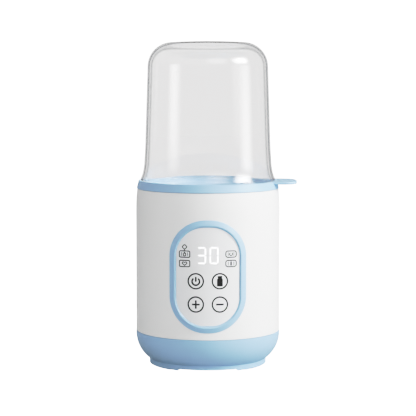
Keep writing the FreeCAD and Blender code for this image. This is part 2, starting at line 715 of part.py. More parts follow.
def board_terminals():
    """Cable sockets on the power board for panel, heater, sensor and mains."""
    places = [
        (-5.5, 5.5, -20, -14, 6.5),
        (-23, -11, -20, -13, HEATER_SOCKET_H),
        (12, 22, -20, -14, SENSOR_SOCKET_H),
        (24.5, 31, -6, 0, MAINS_SOCKET_H),
    ]
    z = BOARD_TOP_Z
    return Part.makeCompound([box(x0, x1, y0, y1, z, z + h) for x0, x1, y0, y1, h in places])


def mains_leads():
    """Live and neutral from the inlet down to the power board's mains socket."""
    socket = BOARD_TOP_Z + MAINS_SOCKET_H
    pin_x = PIN_PITCH / 2
    return Part.makeCompound([
        lead([(pin_x, 37.9, INLET_Z), (pin_x, 32.0, INLET_Z), (17.0, 23.0, 38.5), (28.2, 7.5, 33.5),
              (29.2, -3.0, 30.0), (29.2, -3.0, socket)], 1.1),
        lead([(-pin_x, 37.9, INLET_Z), (-pin_x, 31.0, INLET_Z), (13.0, 20.0, 37.0), (25.2, 6.5, 33.0),
              (26.2, -3.0, 29.0), (26.2, -3.0, socket)], 1.1),
    ])


def heater_leads():
    """Heat-proof leads: left blade to socket, right blade to fuse, fuse to socket."""
    socket = BOARD_TOP_Z + HEATER_SOCKET_H
    return Part.makeCompound([
        lead([(-23.0, 0, BLADE_Z), (-23.0, 0, 38.5), (-20.5, -16.5, 30.0), (-20.5, -16.5, socket)], 1.0),
        lead([(26.0, FUSE_Y, FUSE_Z), (29.0, FUSE_Y, FUSE_Z), (29.0, 0, FUSE_Z), (25.0, 0, FUSE_Z)], 0.38),
        lead([(12.0, FUSE_Y, FUSE_Z), (7.0, FUSE_Y, FUSE_Z), (-13.5, -16.5, 32.0), (-13.5, -16.5, socket)],
             1.0),
    ])


def sensor_leads():
    """Thin pair from the temperature sensor to its socket."""
    socket = BOARD_TOP_Z + SENSOR_SOCKET_H
    can_z = CUP_FLOOR_Z - CUP_T - HEATER_T - 7.0
    route = [(27.5, 8.0, can_z), (27.5, 8.0, 36.0), (17.0, -17.0, 30.0), (17.0, -17.0, socket)]
    return Part.makeCompound([lead([(x + dx, y, z) for x, y, z in route], 0.6) for dx in (-0.9, 0.9)])


def panel_ribbon():
    """Flat cable from the control board, through the chassis slot, to the power board."""
    t = 0.9
    path = [(-43.2, 44.5), (-43.2, 24.0), (-31.0, 17.0), (-20.0, 17.0)]
    inner = [(-43.2 + t, 44.5), (-43.2 + t, 24.5), (-30.7, 17.0 + t), (-20.0, 17.0 + t)]
    corners = [(V(-4.0, y, z), r) for (y, z), r in zip(path, (0, 9.0, 9.0, 0))]
    corners += [(V(-4.0, y, z), r) for (y, z), r in zip(reversed(inner), (0, 8.1, 8.1, 0))]
    return Part.Face(rounded_wire(corners)).extrude(V(8, 0, 0))


# ---- Output -------------------------------------------------------------------------------------
SINGLE_PARTS = [
    body_shell, base_shell, base_plate, rating_label, chassis,
    lift_basket, dome_cover,
    panel_bezel, control_panel, control_board, control_board_screws, display_module, digit_segments,
    mode_light_guides, control_chip, buzzer, board_connector,
    water_chamber, chamber_seal, chamber_collar, chamber_clamp_ring, clamp_ring_screws,
    heater_plate, ptc_heater, heater_bracket, heater_screws, temperature_sensor, thermal_fuse, fuse_clip,
    mains_inlet, power_board, power_board_screws, power_relay, transformer_coil, transformer_core,
    filter_capacitor, film_capacitor, heater_triac, triac_heat_sink, board_terminals,
    mains_leads, heater_leads, sensor_leads, panel_ribbon,
]
REPEATED_PARTS = {
    "foot_pad": foot_pads,
    "base_screw": base_screws,
    "touch_spring": touch_springs,
    "inlet_pin": inlet_pins,
}


def write_part(name, shape):
    solids = shape.Solids
    good = bool(solids) and shape.isValid() and all(solid.Volume > 0 for solid in solids)
    print(f"{name:22s} {'ok' if good else 'BAD'}  solids {len(solids):2d}  volume {shape.Volume:9.1f} mm3")
    Part.makeCompound(solids).exportStep(f"parts/{name}.step")


def main():
    os.makedirs("parts", exist_ok=True)
    for make in SINGLE_PARTS:
        write_part(make.__name__, make())
    for name, make in REPEATED_PARTS.items():
        for number, shape in enumerate(make(), 1):
            write_part(f"{name}_{number}", shape)


main()
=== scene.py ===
import logging
import math
from dataclasses import dataclass, field
from enum import Enum

import bpy
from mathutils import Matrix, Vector


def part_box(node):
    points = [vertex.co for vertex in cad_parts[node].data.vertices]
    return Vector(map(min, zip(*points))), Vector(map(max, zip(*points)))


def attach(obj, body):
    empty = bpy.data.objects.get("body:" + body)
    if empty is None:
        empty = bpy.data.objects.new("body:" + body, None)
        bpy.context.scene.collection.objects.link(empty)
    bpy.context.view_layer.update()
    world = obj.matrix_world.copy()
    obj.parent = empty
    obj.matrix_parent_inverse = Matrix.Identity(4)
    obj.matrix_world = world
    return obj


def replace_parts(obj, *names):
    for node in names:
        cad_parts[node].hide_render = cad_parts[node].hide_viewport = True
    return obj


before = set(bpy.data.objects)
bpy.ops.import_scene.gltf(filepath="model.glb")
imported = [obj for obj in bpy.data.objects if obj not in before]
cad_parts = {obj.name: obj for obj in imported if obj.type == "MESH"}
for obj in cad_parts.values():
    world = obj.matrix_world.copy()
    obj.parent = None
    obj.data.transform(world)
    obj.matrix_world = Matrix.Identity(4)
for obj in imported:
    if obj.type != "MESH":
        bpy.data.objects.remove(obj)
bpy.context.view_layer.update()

LOG = logging.getLogger("bottle_warmer")
MM = 0.001
Point = tuple[float, float]
Settings = dict[str | int, object]


class Lay(Enum):
    """Which way the marks of a metal's working run."""

    STRAIGHT = "along the sheet"
    ROUND = "round the part's axis"


class Plane(Enum):
    """How a flat part stands, which says the two axes its pattern is drawn on."""

    UPRIGHT = ("X", "Z")
    FLAT = ("X", "Y")


class StrokeEnd(Enum):
    """How a printed or lit line ends."""

    ROUND = "round"
    SQUARE = "square"
    MITRED = "mitred"


# ---- Small tools ------------------------------------------------------------------------------------
def linear(hex_colour: str) -> tuple[float, float, float, float]:
    """Turns an sRGB colour into the linear values that shaders use.

    Args:
        hex_colour: Six hex digits, such as "A9CDE6".

    Returns:
        Linear red, green, blue and an alpha of one.
    """
    parts = [int(hex_colour[i:i + 2], 16) / 255 for i in (0, 2, 4)]
    values = [p / 12.92 if p <= 0.04045 else ((p + 0.055) / 1.055) ** 2.4 for p in parts]
    return (values[0], values[1], values[2], 1.0)


def add_node(tree: bpy.types.NodeTree, kind: str, settings: Settings | None = None,
             links: dict[str | int, bpy.types.NodeSocket] | None = None) -> bpy.types.Node:
    """Adds one shader node with its settings and links.

    Args:
        tree: The node tree that gets the node.
        kind: Blender's type name of the node, without "ShaderNode".
        settings: Values by name. A name that the node has as a property sets that, any other sets an input.
        links: The socket that feeds each input, by the input's name or number.

    Returns:
        The new node.
    """
    node = tree.nodes.new("ShaderNode" + kind)
    for key, value in (settings or {}).items():
        if isinstance(key, str) and hasattr(node, key):
            setattr(node, key, value)
        else:
            node.inputs[key].default_value = value
    for key, socket in (links or {}).items():
        tree.links.new(socket, node.inputs[key])
    return node


def rounded(corners: list[tuple[float, ...]], sag: float = 0.004) -> list[Point]:
    """Rounds the corners of an open line.

    Args:
        corners: Points in mm, each with an optional corner radius as its third number.
        sag: How far a chord may leave its arc, in mm.

    Returns:
        The points of the line with its arcs.
    """
    line = [corners[0][:2]]
    for before, corner, after in zip(corners, corners[1:], corners[2:]):
        radius = corner[2] if len(corner) > 2 else 0.0
        here = Vector(corner[:2])
        back = (Vector(before[:2]) - here).normalized()
        on = (Vector(after[:2]) - here).normalized()
        turn = math.pi - back.angle(on)
        if radius <= 0 or turn < 1e-4:
            line.append(tuple(here))
            continue
        reach = radius * math.tan(turn / 2)
        centre = here + (back + on).normalized() * math.hypot(radius, reach)
        start = here + back * reach - centre
        side = 1 if back.x * on.y - back.y * on.x < 0 else -1
        steps = max(3, math.ceil(turn / (2 * math.acos(1 - min(sag / radius, 0.5)))))
        for i in range(steps + 1):
            angle = side * turn * i / steps
            c, s = math.cos(angle), math.sin(angle)
            line.append((centre.x + start.x * c - start.y * s, centre.y + start.x * s + start.y * c))
    line.append(corners[-1][:2])
    return line


def mesh_piece(name: str, points: list[tuple[float, float, float]], faces: list[tuple[int, ...]],
               crease_deg: float = 40.0) -> bpy.types.Object:
    """Makes a smooth-shaded piece whose edges over an angle stay sharp.

    Args:
        name: The piece's name.
        points: Vertices in mm, in the object's frame.
        faces: Vertex numbers of each face.
        crease_deg: The angle between faces over which an edge is shaded sharp.

    Returns:
        The new object, linked to the scene.
    """
    mesh = bpy.data.meshes.new(name)
    mesh.from_pydata([[c * MM for c in p] for p in points], [], faces)
    mesh.validate()
    for polygon in mesh.polygons:
        polygon.use_smooth = True
    mesh.set_sharp_from_angle(angle=math.radians(crease_deg))
    piece = bpy.data.objects.new(name, mesh)
    bpy.context.scene.collection.objects.link(piece)
    return piece


def settle(piece: bpy.types.Object, body: str, finish: "Finish") -> bpy.types.Object:
    """Gives a new piece its finish and the body it moves with.

    Args:
        piece: The new piece.
        body: The body it rides on.
        finish: What it is made of.

    Returns:
        The same piece.
    """
    piece.data.materials.append(finish.build())
    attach(piece, body)
    LOG.info("piece %s rides on %s, finish %s", piece.name, body, finish.name)
    return piece


def dress(finish: "Finish", *nodes: str) -> None:
    """Puts a finish on carried-over parts.

    Args:
        finish: What they are made of.
        nodes: The parts' names.
    """
    for name in nodes:
        for material_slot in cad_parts[name].material_slots:
            material_slot.material = finish.build()
        LOG.info("part %s, finish %s", name, finish.name)


def middle(node: str) -> Vector:
    """The middle of a carried-over part, in mm."""
    low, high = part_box(node)
    return (low + high) / 2 / MM


# ---- Finishes ---------------------------------------------------------------------------------------
@dataclass(frozen=True)
class Finish:
    """A surface: its material, how it was worked and what that gives the eye.

    Args:
        name: The material and process.
        colour: Main colour, sRGB hex.
        shade: Colour of its faint darker patches, sRGB hex.
        roughness: Middle roughness.
        spread: How far the roughness wanders over the surface.
        grain_mm: Spacing of its fine relief.
        depth_mm: Height of its fine relief.
        patch_mm: Spacing of the colour patches.
        optics: Values that are the same all over, by the shader's socket names.
        smear: Spacing of the rougher patches, as a share of the colour patches'.
    """

    name: str
    colour: str
    shade: str
    roughness: float
    spread: float = 0.05
    grain_mm: float = 0.9
    depth_mm: float = 0.003
    patch_mm: float = 22.0
    optics: tuple[tuple[str, object], ...] = ()
    smear: float = 0.4

    def build(self) -> bpy.types.Material:
        """Makes the material, or finds it if it is there already.

        Returns:
            The material.
        """
        if self.name in bpy.data.materials:
            return bpy.data.materials[self.name]
        material = bpy.data.materials.new(self.name)
        material.use_nodes = True
        tree = material.node_tree
        tree.nodes.clear()
        place = add_node(tree, "TexCoord").outputs["Object"]
        links = {"Base Color": self.tone(tree, place), "Roughness": self.polish(tree, place)}
        height = self.relief(tree, place)
        bump = add_node(tree, "Bump", {"Strength": 1.0, "Distance": self.depth_mm * MM}, {"Height": height})
        links["Normal"] = bump.outputs["Normal"]
        surface = add_node(tree, "BsdfPrincipled", dict(self.optics), links)
        add_node(tree, "OutputMaterial", links={"Surface": surface.outputs["BSDF"]})
        material.diffuse_color = linear(self.colour)
        return material

    def tone(self, tree: bpy.types.NodeTree, place: bpy.types.NodeSocket) -> bpy.types.NodeSocket:
        """Colour patches of the moulding, a shade apart.

        Args:
            tree: The material's nodes.
            place: Where on the part the shader is.

        Returns:
            The colour.
        """
        settings = {"Scale": 1 / (self.patch_mm * MM), "Detail": 3.0}
        cloud = add_node(tree, "TexNoise", settings, {"Vector": place})
        return self.between(tree, cloud.outputs["Fac"], self.shade, self.colour)

    def between(self, tree: bpy.types.NodeTree, amount: bpy.types.NodeSocket, low: str,
                high: str) -> bpy.types.NodeSocket:
        """Mixes two colours.

        Args:
            tree: The material's nodes.
            amount: Nought for the low colour, one for the high one.
            low: sRGB hex.
            high: sRGB hex.

        Returns:
            The mixed colour.
        """
        mix = add_node(tree, "Mix", {"data_type": "RGBA", 6: linear(low), 7: linear(high)}, {0: amount})
        return mix.outputs[2]

    def polish(self, tree: bpy.types.NodeTree, place: bpy.types.NodeSocket) -> bpy.types.NodeSocket:
        """Roughness that wanders a little, as handling and the mould leave it.

        Args:
            tree: The material's nodes.
            place: Where on the part the shader is.

        Returns:
            The roughness.
        """
        settings = {"Scale": 1 / (self.patch_mm * self.smear * MM), "Detail": 4.0}
        cloud = add_node(tree, "TexNoise", settings, {"Vector": place})
        low, high = max(self.roughness - self.spread, 0.0), min(self.roughness + self.spread, 1.0)
        spread = add_node(tree, "MapRange", {"To Min": low, "To Max": high}, {"Value": cloud.outputs["Fac"]})
        return spread.outputs["Result"]

    def relief(self, tree: bpy.types.NodeTree, place: bpy.types.NodeSocket) -> bpy.types.NodeSocket:
        """Fine grain of a spark-eroded mould.

        Args:
            tree: The material's nodes.
            place: Where on the part the shader is.

        Returns:
            The height, from nought to one.
        """
        settings = {"Scale": 1 / (self.grain_mm * MM), "Detail": 2.0}
        return add_node(tree, "TexNoise", settings, {"Vector": place}).outputs["Fac"]


@dataclass(frozen=True)
class WorkedMetal(Finish):
    """Sheet or turned metal with fine marks that all run one way.

    Args:
        lay: Which way they run.
        squeeze: Width of a straight mark, as a share of its length.
    """

    lay: Lay = Lay.STRAIGHT
    squeeze: float = 0.04

    def relief(self, tree: bpy.types.NodeTree, place: bpy.types.NodeSocket) -> bpy.types.NodeSocket:
        """Marks far longer than they are wide.

        Args:
            tree: The material's nodes.
            place: Where on the part the shader is.

        Returns:
            The height, from nought to one.
        """
        if self.lay is Lay.ROUND:
            flat = add_node(tree, "VectorMath", {"operation": "MULTIPLY", 1: (1, 1, 0)}, {0: place})
            reach = add_node(tree, "VectorMath", {"operation": "LENGTH"}, {0: flat.outputs["Vector"]})
            height = add_node(tree, "SeparateXYZ", links={"Vector": place}).outputs["Z"]
            marked = add_node(tree, "CombineXYZ", links={"X": reach.outputs["Value"], "Z": height})
        else:
            settings = {"operation": "MULTIPLY", 1: (self.squeeze, 1, 1)}
            marked = add_node(tree, "VectorMath", settings, {0: place})
        settings = {"Scale": 1 / (self.grain_mm * MM), "Detail": 3.0}
        return add_node(tree, "TexNoise", settings, {"Vector": marked.outputs["Vector"]}).outputs["Fac"]


@dataclass(frozen=True)
class StripedSkinGrooveShade(Finish):
    """A skin with even bands, such as the wires of a ribbon or the laps of a tape; its grooves are darkened
    with painted shade.
    """

    band_mm: float = 1.27
    across: str = "X"

    def bands(self, tree: bpy.types.NodeTree, place: bpy.types.NodeSocket) -> bpy.types.NodeSocket:
        """The bands as a wave.

        Args:
            tree: The material's nodes.
            place: Where on the part the shader is.

        Returns:
            The wave, from nought to one.
        """
        # A wave's scale of one gives a band every pi tenths of a unit.
        settings = {"bands_direction": self.across, "Scale": math.pi / 10 / (self.band_mm * MM)}
        return add_node(tree, "TexWave", settings, {"Vector": place}).outputs["Fac"]

    def tone(self, tree: bpy.types.NodeTree, place: bpy.types.NodeSocket) -> bpy.types.NodeSocket:
        """Painted shade: the colour is darker in the grooves; on the sleeve the darker bands are its printed
        stripes.

        Args:
            tree: The material's nodes.
            place: Where on the part the shader is.

        Returns:
            The colour.
        """
        return self.between(tree, self.bands(tree, place), self.shade, self.colour)

    def relief(self, tree: bpy.types.NodeTree, place: bpy.types.NodeSocket) -> bpy.types.NodeSocket:
        """The bands stand proud of their grooves.

        Args:
            tree: The material's nodes.
            place: Where on the part the shader is.

        Returns:
            The height, from nought to one.
        """
        return self.bands(tree, place)


@dataclass(frozen=True)
class ClearMouldingPaintedEdge(Finish):
    """Clear plastic with a painted dark reflection: a grey line painted where the wall turns edge-on, for the
    dark surroundings seen there.

    Args:
        edge: Colour of the painted dark line, sRGB hex.
        rise: How far the surface has turned away where the line begins and where it is full.
        fall: The same where it starts to fade and where it is gone.
    """

    edge: str = "4C4F52"
    rise: Point = (0.67, 0.75)
    fall: Point = (0.79, 0.89)

    def tone(self, tree: bpy.types.NodeTree, place: bpy.types.NodeSocket) -> bpy.types.NodeSocket:
        """Clear where it is faced, a painted grey line where it turns away, and clear again on the last
        sliver.

        Args:
            tree: The material's nodes.
            place: Where on the part the shader is.

        Returns:
            The colour.
        """
        body = super().tone(tree, place)
        turned = add_node(tree, "LayerWeight", {"Blend": 0.5}).outputs["Facing"]
        settings = {"From Min": self.rise[0], "From Max": self.rise[1]}
        rise = add_node(tree, "MapRange", settings, {"Value": turned})
        settings = {"From Min": self.fall[1], "From Max": self.fall[0]}
        fall = add_node(tree, "MapRange", settings, {"Value": turned})
        # Painted shade: the grey band where the wall turns edge-on stands in for a dark reflection.
        line = add_node(tree, "Math", {"operation": "MULTIPLY"}, {0: rise.outputs[0], 1: fall.outputs[0]})
        settings = {"data_type": "RGBA", 7: linear(self.edge)}
        return add_node(tree, "Mix", settings, {0: line.outputs[0], 6: body}).outputs[2]


@dataclass(frozen=True)
class CircuitBoard(Finish):
    """Glass-fibre board under solder mask, with tracks that show as paler lines.

    Args:
        plane: The board's own plane.
        track_mm: Spacing of the tracks.
        land: Colour of the tinned lands, sRGB hex.
        land_mm: Spacing of the lands.
        land_reach: Radius of a land, as a share of that spacing.
    """

    plane: Plane = Plane.FLAT
    track_mm: float = 2.4
    land: str = "C9B458"
    land_mm: float = 5.1
    land_reach: float = 0.16

    def tracks(self, tree: bpy.types.NodeTree, place: bpy.types.NodeSocket) -> bpy.types.NodeSocket:
        """Tracks as the joints of a long-bond pattern on the board's own plane.

        Args:
            tree: The material's nodes.
            place: Where on the part the shader is.

        Returns:
            One on a track, nought off it.
        """
        axes = add_node(tree, "SeparateXYZ", links={"Vector": place})
        first, second = self.plane.value
        flat = add_node(tree, "CombineXYZ", links={"X": axes.outputs[first], "Y": axes.outputs[second]})
        settings = {"Scale": 1 / (self.track_mm * MM), "Mortar Size": 0.09, "Mortar Smooth": 0.1,
                    "Brick Width": 3.7, "Row Height": 1.0, "offset": 0.37}
        return add_node(tree, "TexBrick", settings, {"Vector": flat.outputs["Vector"]}).outputs["Fac"]

    def tone(self, tree: bpy.types.NodeTree, place: bpy.types.NodeSocket) -> bpy.types.NodeSocket:
        """Green mask, paler over copper, with round tinned lands.

        Args:
            tree: The material's nodes.
            place: Where on the part the shader is.

        Returns:
            The colour.
        """
        masked = self.between(tree, self.tracks(tree, place), self.shade, self.colour)
        settings = {"Scale": 1 / (self.land_mm * MM), "Randomness": 0.6}
        cells = add_node(tree, "TexVoronoi", settings, {"Vector": place})
        settings = {"operation": "LESS_THAN", 1: self.land_reach}
        on_land = add_node(tree, "Math", settings, {0: cells.outputs["Distance"]})
        settings = {"data_type": "RGBA", 7: linear(self.land)}
        return add_node(tree, "Mix", settings, {0: on_land.outputs["Value"], 6: masked}).outputs[2]

    def relief(self, tree: bpy.types.NodeTree, place: bpy.types.NodeSocket) -> bpy.types.NodeSocket:
        """Copper lifts the mask over each track.

        Args:
            tree: The material's nodes.
            place: Where on the part the shader is.

        Returns:
            The height, from nought to one.
        """
        return self.tracks(tree, place)


# Spark-eroded ABS: satin, the gloss broken up so that lights show only as broad soft bands.
SHELL_WHITE = Finish("white_abs_spark_eroded", "F4F4F3", "F1F2F2", 0.42, 0.04, 0.9, 0.0035,
                     optics=(("IOR", 1.53),))
# Moulded polypropylene: softer sheen than ABS, faintly milky, and its colour flows a little.
PALE_BLUE = Finish("pale_blue_polypropylene_moulded", "A0C5E6", "9DC2E3", 0.40, 0.05, 1.1, 0.003,
                   optics=(("IOR", 1.49),))
# Polycarbonate lens printed on its back: a smooth front that mirrors more than the shell.
LENS_WHITE = Finish("white_polycarbonate_back_printed", "F1F2F3", "EEEFF1", 0.30, 0.04, 2.5, 0.0008,
                    optics=(("IOR", 1.585),))
# Screen ink seen through the lens's own gloss, so it stays deep. The screen's mesh is drawn at 0.5 mm,
# coarser than real.
PRINT_INK = Finish("dark_grey_screen_ink", "161719", "121314", 0.30, 0.04, 0.5, 0.0005,
                   optics=(("IOR", 1.5),))
BLACK_INK = Finish("black_screen_ink", "040404", "020202", 0.28, 0.04, 0.5, 0.0005, optics=(("IOR", 1.5),))
# Copolyester, polished mould: clear as glass, with slow flow waves that bend what is seen through it.
# Its grey edge line is painted shade, a painted dark reflection.
CLEAR_COVER = ClearMouldingPaintedEdge("clear_copolyester_polished", "F5F4F4", "F4F4F4", 0.015, 0.01, 16.0, 0.004, 60.0,
                            optics=(("IOR", 1.57), ("Transmission Weight", 1.0)))
# Acrylic rod: clear with a frosted end, so light spreads in it.
CLEAR_ACRYLIC = Finish("clear_acrylic_frosted", "EDF1F3", "E6EBEE", 0.25, 0.08, 0.6, 0.004, 8.0,
                       optics=(("IOR", 1.49), ("Transmission Weight", 0.85)))
# Light bars: milky polycarbonate, evenly lit from behind.
LIT_WHITE = Finish("milky_polycarbonate_lit", "FFFFFF", "FBFCFF", 0.4, 0.05, 0.8, 0.002, 3.0,
                   optics=(("IOR", 1.585), ("Emission Color", linear("FBFDFF")), ("Emission Strength", 2.0)))
DISPLAY_BLACK = Finish("black_display_epoxy_matt", "0C0D0E", "08090A", 0.6, 0.08, 0.5, 0.004)
BLACK_NYLON = Finish("black_glass_filled_nylon", "121314", "0B0C0D", 0.48, 0.08, 0.6, 0.006, 7.0,
                     optics=(("IOR", 1.53),))
WHITE_NYLON = Finish("natural_white_nylon_moulded", "E9E6DC", "DDD9CC", 0.42, 0.06, 0.8, 0.004, 5.0,
                     optics=(("IOR", 1.53),))
# Glass-filled polypropylene left unpainted: matt, with flow marks from its ribs.
NATURAL_PLASTIC = Finish("natural_glass_filled_polypropylene", "DAD9D2", "CECDC5", 0.58, 0.08, 0.7, 0.008,
                         14.0, optics=(("IOR", 1.49),))
SILICONE = Finish("translucent_silicone_moulded", "D9D8D3", "CFCEC8", 0.5, 0.08, 0.7, 0.004, 6.0,
                  optics=(("IOR", 1.41), ("Subsurface Weight", 0.3), ("Subsurface Scale", 0.002)))
# Thermoplastic rubber: no gloss at all, with a skin of dust.
GREY_RUBBER = Finish("grey_thermoplastic_rubber", "57595C", "4B4D50", 0.85, 0.08, 0.45, 0.012, 4.0)
WIRE_SILICONE = Finish("brown_red_silicone_wire", "8A2F22", "7B281D", 0.45, 0.08, 0.5, 0.004, 5.0,
                       optics=(("IOR", 1.41),))
SENSOR_WIRE = Finish("black_silicone_wire", "17181A", "101113", 0.45, 0.08, 0.5, 0.004, 5.0,
                     optics=(("IOR", 1.41),))
RELAY_BLUE = Finish("blue_polyester_case_moulded", "2358A0", "1D4F94", 0.34, 0.06, 0.6, 0.004, 5.0,
                    optics=(("IOR", 1.57),))
CERAMIC_PACK = Finish("heater_pack_polyimide_wrapped", "C98A3C", "B87A2E", 0.38, 0.1, 1.5, 0.012, 6.0)
FERRITE = Finish("sintered_ferrite", "3B3C3E", "2F3032", 0.62, 0.1, 0.35, 0.012, 3.0)
CAN_SLEEVE = StripedSkinGrooveShade("capacitor_sleeve_shrunk", "23283F", "1D2135", 0.35, 0.05, 0.6, 0.01, 5.0,
                         band_mm=6.2, across="X")
# Polyester tape lapped round the coil, one lap every 3 mm.
# The groove at each lap is darkened with painted shade.
WOUND_TAPE = StripedSkinGrooveShade("yellow_polyester_tape_wound", "E3C23E", "C9A62C", 0.3, 0.06, 0.5, 0.03, 5.0,
                         band_mm=3.0, across="Z")
# Flat cable, wires at 1.27 mm, the web between them a groove.
# Each groove is darkened with painted shade.
RIBBON = StripedSkinGrooveShade("grey_flat_cable", "A6A8AB", "83858A", 0.5, 0.05, 0.5, 0.06, 5.0,
                     band_mm=1.27, across="X")
FOIL_LABEL = Finish("satin_foil_label", "C8CACD", "BFC1C5", 0.38, 0.06, 0.5, 0.002, 9.0,
                    optics=(("Metallic", 0.7),))
POWER_BOARD = CircuitBoard("power_board_solder_mask", "2E7A48", "1E5B33", 0.28, 0.05, 0.5, 0.03,
                           optics=(("IOR", 1.5),), track_mm=3.2)
PANEL_BOARD = CircuitBoard("panel_board_solder_mask", "2E7A48", "1E5B33", 0.28, 0.05, 0.5, 0.03,
                           optics=(("IOR", 1.5),), plane=Plane.UPRIGHT, track_mm=2.2)
# Deep-drawn stainless, polished on a lathe: fine rings from the polishing, water marks over them.
DRAWN_STEEL = WorkedMetal("stainless_steel_deep_drawn", "CFCECA", "C5C4C0", 0.24, 0.05, 1.3, 0.0015, 12.0,
                          optics=(("Metallic", 1.0),), lay=Lay.ROUND)
ZINC_PLATE = WorkedMetal("zinc_plated_steel", "C3C4C2", "B2B5B6", 0.34, 0.1, 0.3, 0.003, 4.0,
                         optics=(("Metallic", 1.0),))
MILLED_ALUMINIUM = WorkedMetal("aluminium_milled", "D2D3D4", "C6C7C9", 0.32, 0.07, 0.4, 0.005, 8.0,
                               optics=(("Metallic", 1.0),))
NICKEL_PLATE = WorkedMetal("nickel_plated_brass", "CDC6B6", "C1B9A7", 0.22, 0.06, 0.3, 0.002, 4.0,
                           optics=(("Metallic", 1.0),))


# ---- Enclosure --------------------------------------------------------------------------------------
@dataclass
class Enclosure:
    """White tube, blue bowl and plinth, feet, label and the screws that hold them."""

    screws: int = 4

    def dress(self) -> None:
        """Finishes the outside of the warmer."""
        dress(SHELL_WHITE, "body_shell", "chamber_collar")
        dress(PALE_BLUE, "base_shell", "base_plate")
        dress(FOIL_LABEL, "rating_label")
        dress(NATURAL_PLASTIC, "chassis")
        for number in range(1, self.screws + 1):
            dress(GREY_RUBBER, f"foot_pad_{number}")
            dress(ZINC_PLATE, f"base_screw_{number}")


@dataclass
class Basket:
    """Lift-out basket whose rim is the blue ring with the finger tab."""

    node: str = "lift_basket"

    def dress(self) -> None:
        """Finishes the basket."""
        dress(PALE_BLUE, self.node)


@dataclass
class Dome:
    """Clear cover: a rim in the ring's seat, a flared skirt, a tapered side, a crowned top. Sizes in mm."""

    wall: float = 2.0
    rim: Point = (55.3, 149.7)
    flare: tuple[tuple[float, float, float], ...] = (
        (55.3, 152.4, 0.9), (53.72, 156.3, 24.0), (52.35, 163.0, 58.0), (51.45, 178.0, 300.0))
    side_top: Point = (48.65, 264.1)
    shoulder: float = 20.0
    crown: float = 490.0
    top_z: float = 265.0
    rim_corner: float = 0.45
    # The inner face's bends are a little tighter than the outer one's.
    inner_bend: float = 0.95
    shoulder_steps: int = 32
    crown_steps: int = 12
    segments: int = 288

    def outline(self, inset: float) -> list[Point]:
        """One face of the wall, from the rim to the axis.

        Args:
            inset: How far inside the outer face it lies.

        Returns:
            Radius and height of each point.
        """
        scale = 1.0 if inset == 0 else self.inner_bend
        low = [(self.rim[0] - inset, self.rim[1])]
        low += [(r - inset, z, bend * scale) for r, z, bend in self.flare]
        foot = Vector(low[-1][:2])
        along = (Vector((self.side_top[0] - inset, self.side_top[1])) - foot).normalized()
        inward = Vector((-along.y, along.x))
        turn_r, crown_r = self.shoulder - inset, self.crown - inset
        crown_centre = Vector((0.0, self.top_z - self.crown))
        # The shoulder's arc touches the side and the crown: its centre lies turn_r from both.
        start = foot + inward * turn_r - crown_centre
        half = start.dot(along)
        gone = -half + math.sqrt(half ** 2 - start.length_squared + (crown_r - turn_r) ** 2)
        centre = foot + inward * turn_r + along * gone
        from_angle = math.atan2(-inward.y, -inward.x)
        out = (centre - crown_centre).normalized()
        to_angle = math.atan2(out.y, out.x)
        points = rounded(low + [tuple(centre - inward * turn_r)])
        for i in range(1, self.shoulder_steps + 1):
            angle = from_angle + (to_angle - from_angle) * i / self.shoulder_steps
            points.append((centre.x + turn_r * math.cos(angle), centre.y + turn_r * math.sin(angle)))
        edge = math.asin((centre.x + turn_r * math.cos(to_angle)) / crown_r)
        for i in range(1, self.crown_steps + 1):
            angle = edge * (1 - i / self.crown_steps)
            points.append((crown_r * math.sin(angle), crown_centre.y + crown_r * math.cos(angle)))
        return points

    def build(self) -> bpy.types.Object:
        """Turns the wall into a closed clear piece.

        Returns:
            The cover.
        """
        outer_r, low = self.rim
        inner_r, high = outer_r - self.wall, low + self.wall / 2
        rim_round = rounded([(inner_r, high), (inner_r, low, self.rim_corner),
                             (outer_r, low, self.rim_corner), (outer_r, high)])
        outside, inside = self.outline(0.0), self.outline(self.wall)
        profile = rim_round[1:-1] + outside[1:] + inside[:0:-1]
        points: list[tuple[float, float, float]] = []
        rings: list[list[int]] = []
        for r, z in profile:
            count = 1 if r < 1e-6 else self.segments
            rings.append([len(points) + i for i in range(count)])
            for i in range(count):
                angle = 2 * math.pi * i / self.segments
                points.append((r * math.cos(angle), r * math.sin(angle), z))
        faces: list[tuple[int, ...]] = []
        for here, on in zip(rings, rings[1:] + rings[:1]):
            for i in range(self.segments):
                j = (i + 1) % self.segments
                ring = [here[i % len(here)], here[j % len(here)], on[j % len(on)], on[i % len(on)]]
                corners = list(dict.fromkeys(ring))
                if len(corners) > 2:
                    faces.append(tuple(corners))
        piece = mesh_piece("clear_dome", points, faces, 60.0)
        # Light passes clear plastic, which a ray-traced shadow would stop.
        piece.visible_shadow = False
        settle(piece, "dome", CLEAR_COVER)
        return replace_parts(piece, "dome_cover")


# ---- Control panel ----------------------------------------------------------------------------------
def oblong(half_w: float, half_h: float, corner: float, arc_steps: int = 24,
           side_steps: int = 10) -> list[Point]:
    """A rounded rectangle about the origin, counter-clockwise, with the same number of points at any size.

    Args:
        half_w: Half its width.
        half_h: Half its height.
        corner: Its corner radius.
        arc_steps: Steps in each corner.
        side_steps: Steps along each side.

    Returns:
        Its points.
    """
    x, z = half_w - corner, half_h - corner
    points: list[Point] = []
    for quarter, (cx, cz) in enumerate([(x, z), (-x, z), (-x, -z), (x, -z)]):
        for i in range(arc_steps + 1):
            angle = math.pi / 2 * (quarter + i / arc_steps)
            points.append((cx + corner * math.cos(angle), cz + corner * math.sin(angle)))
        ahead = [(-x, z + corner), (-x - corner, -z), (x, -z - corner), (x + corner, z)][quarter]
        here = points[-1]
        for i in range(1, side_steps):
            t = i / side_steps
            points.append((here[0] + (ahead[0] - here[0]) * t, here[1] + (ahead[1] - here[1]) * t))
    return points


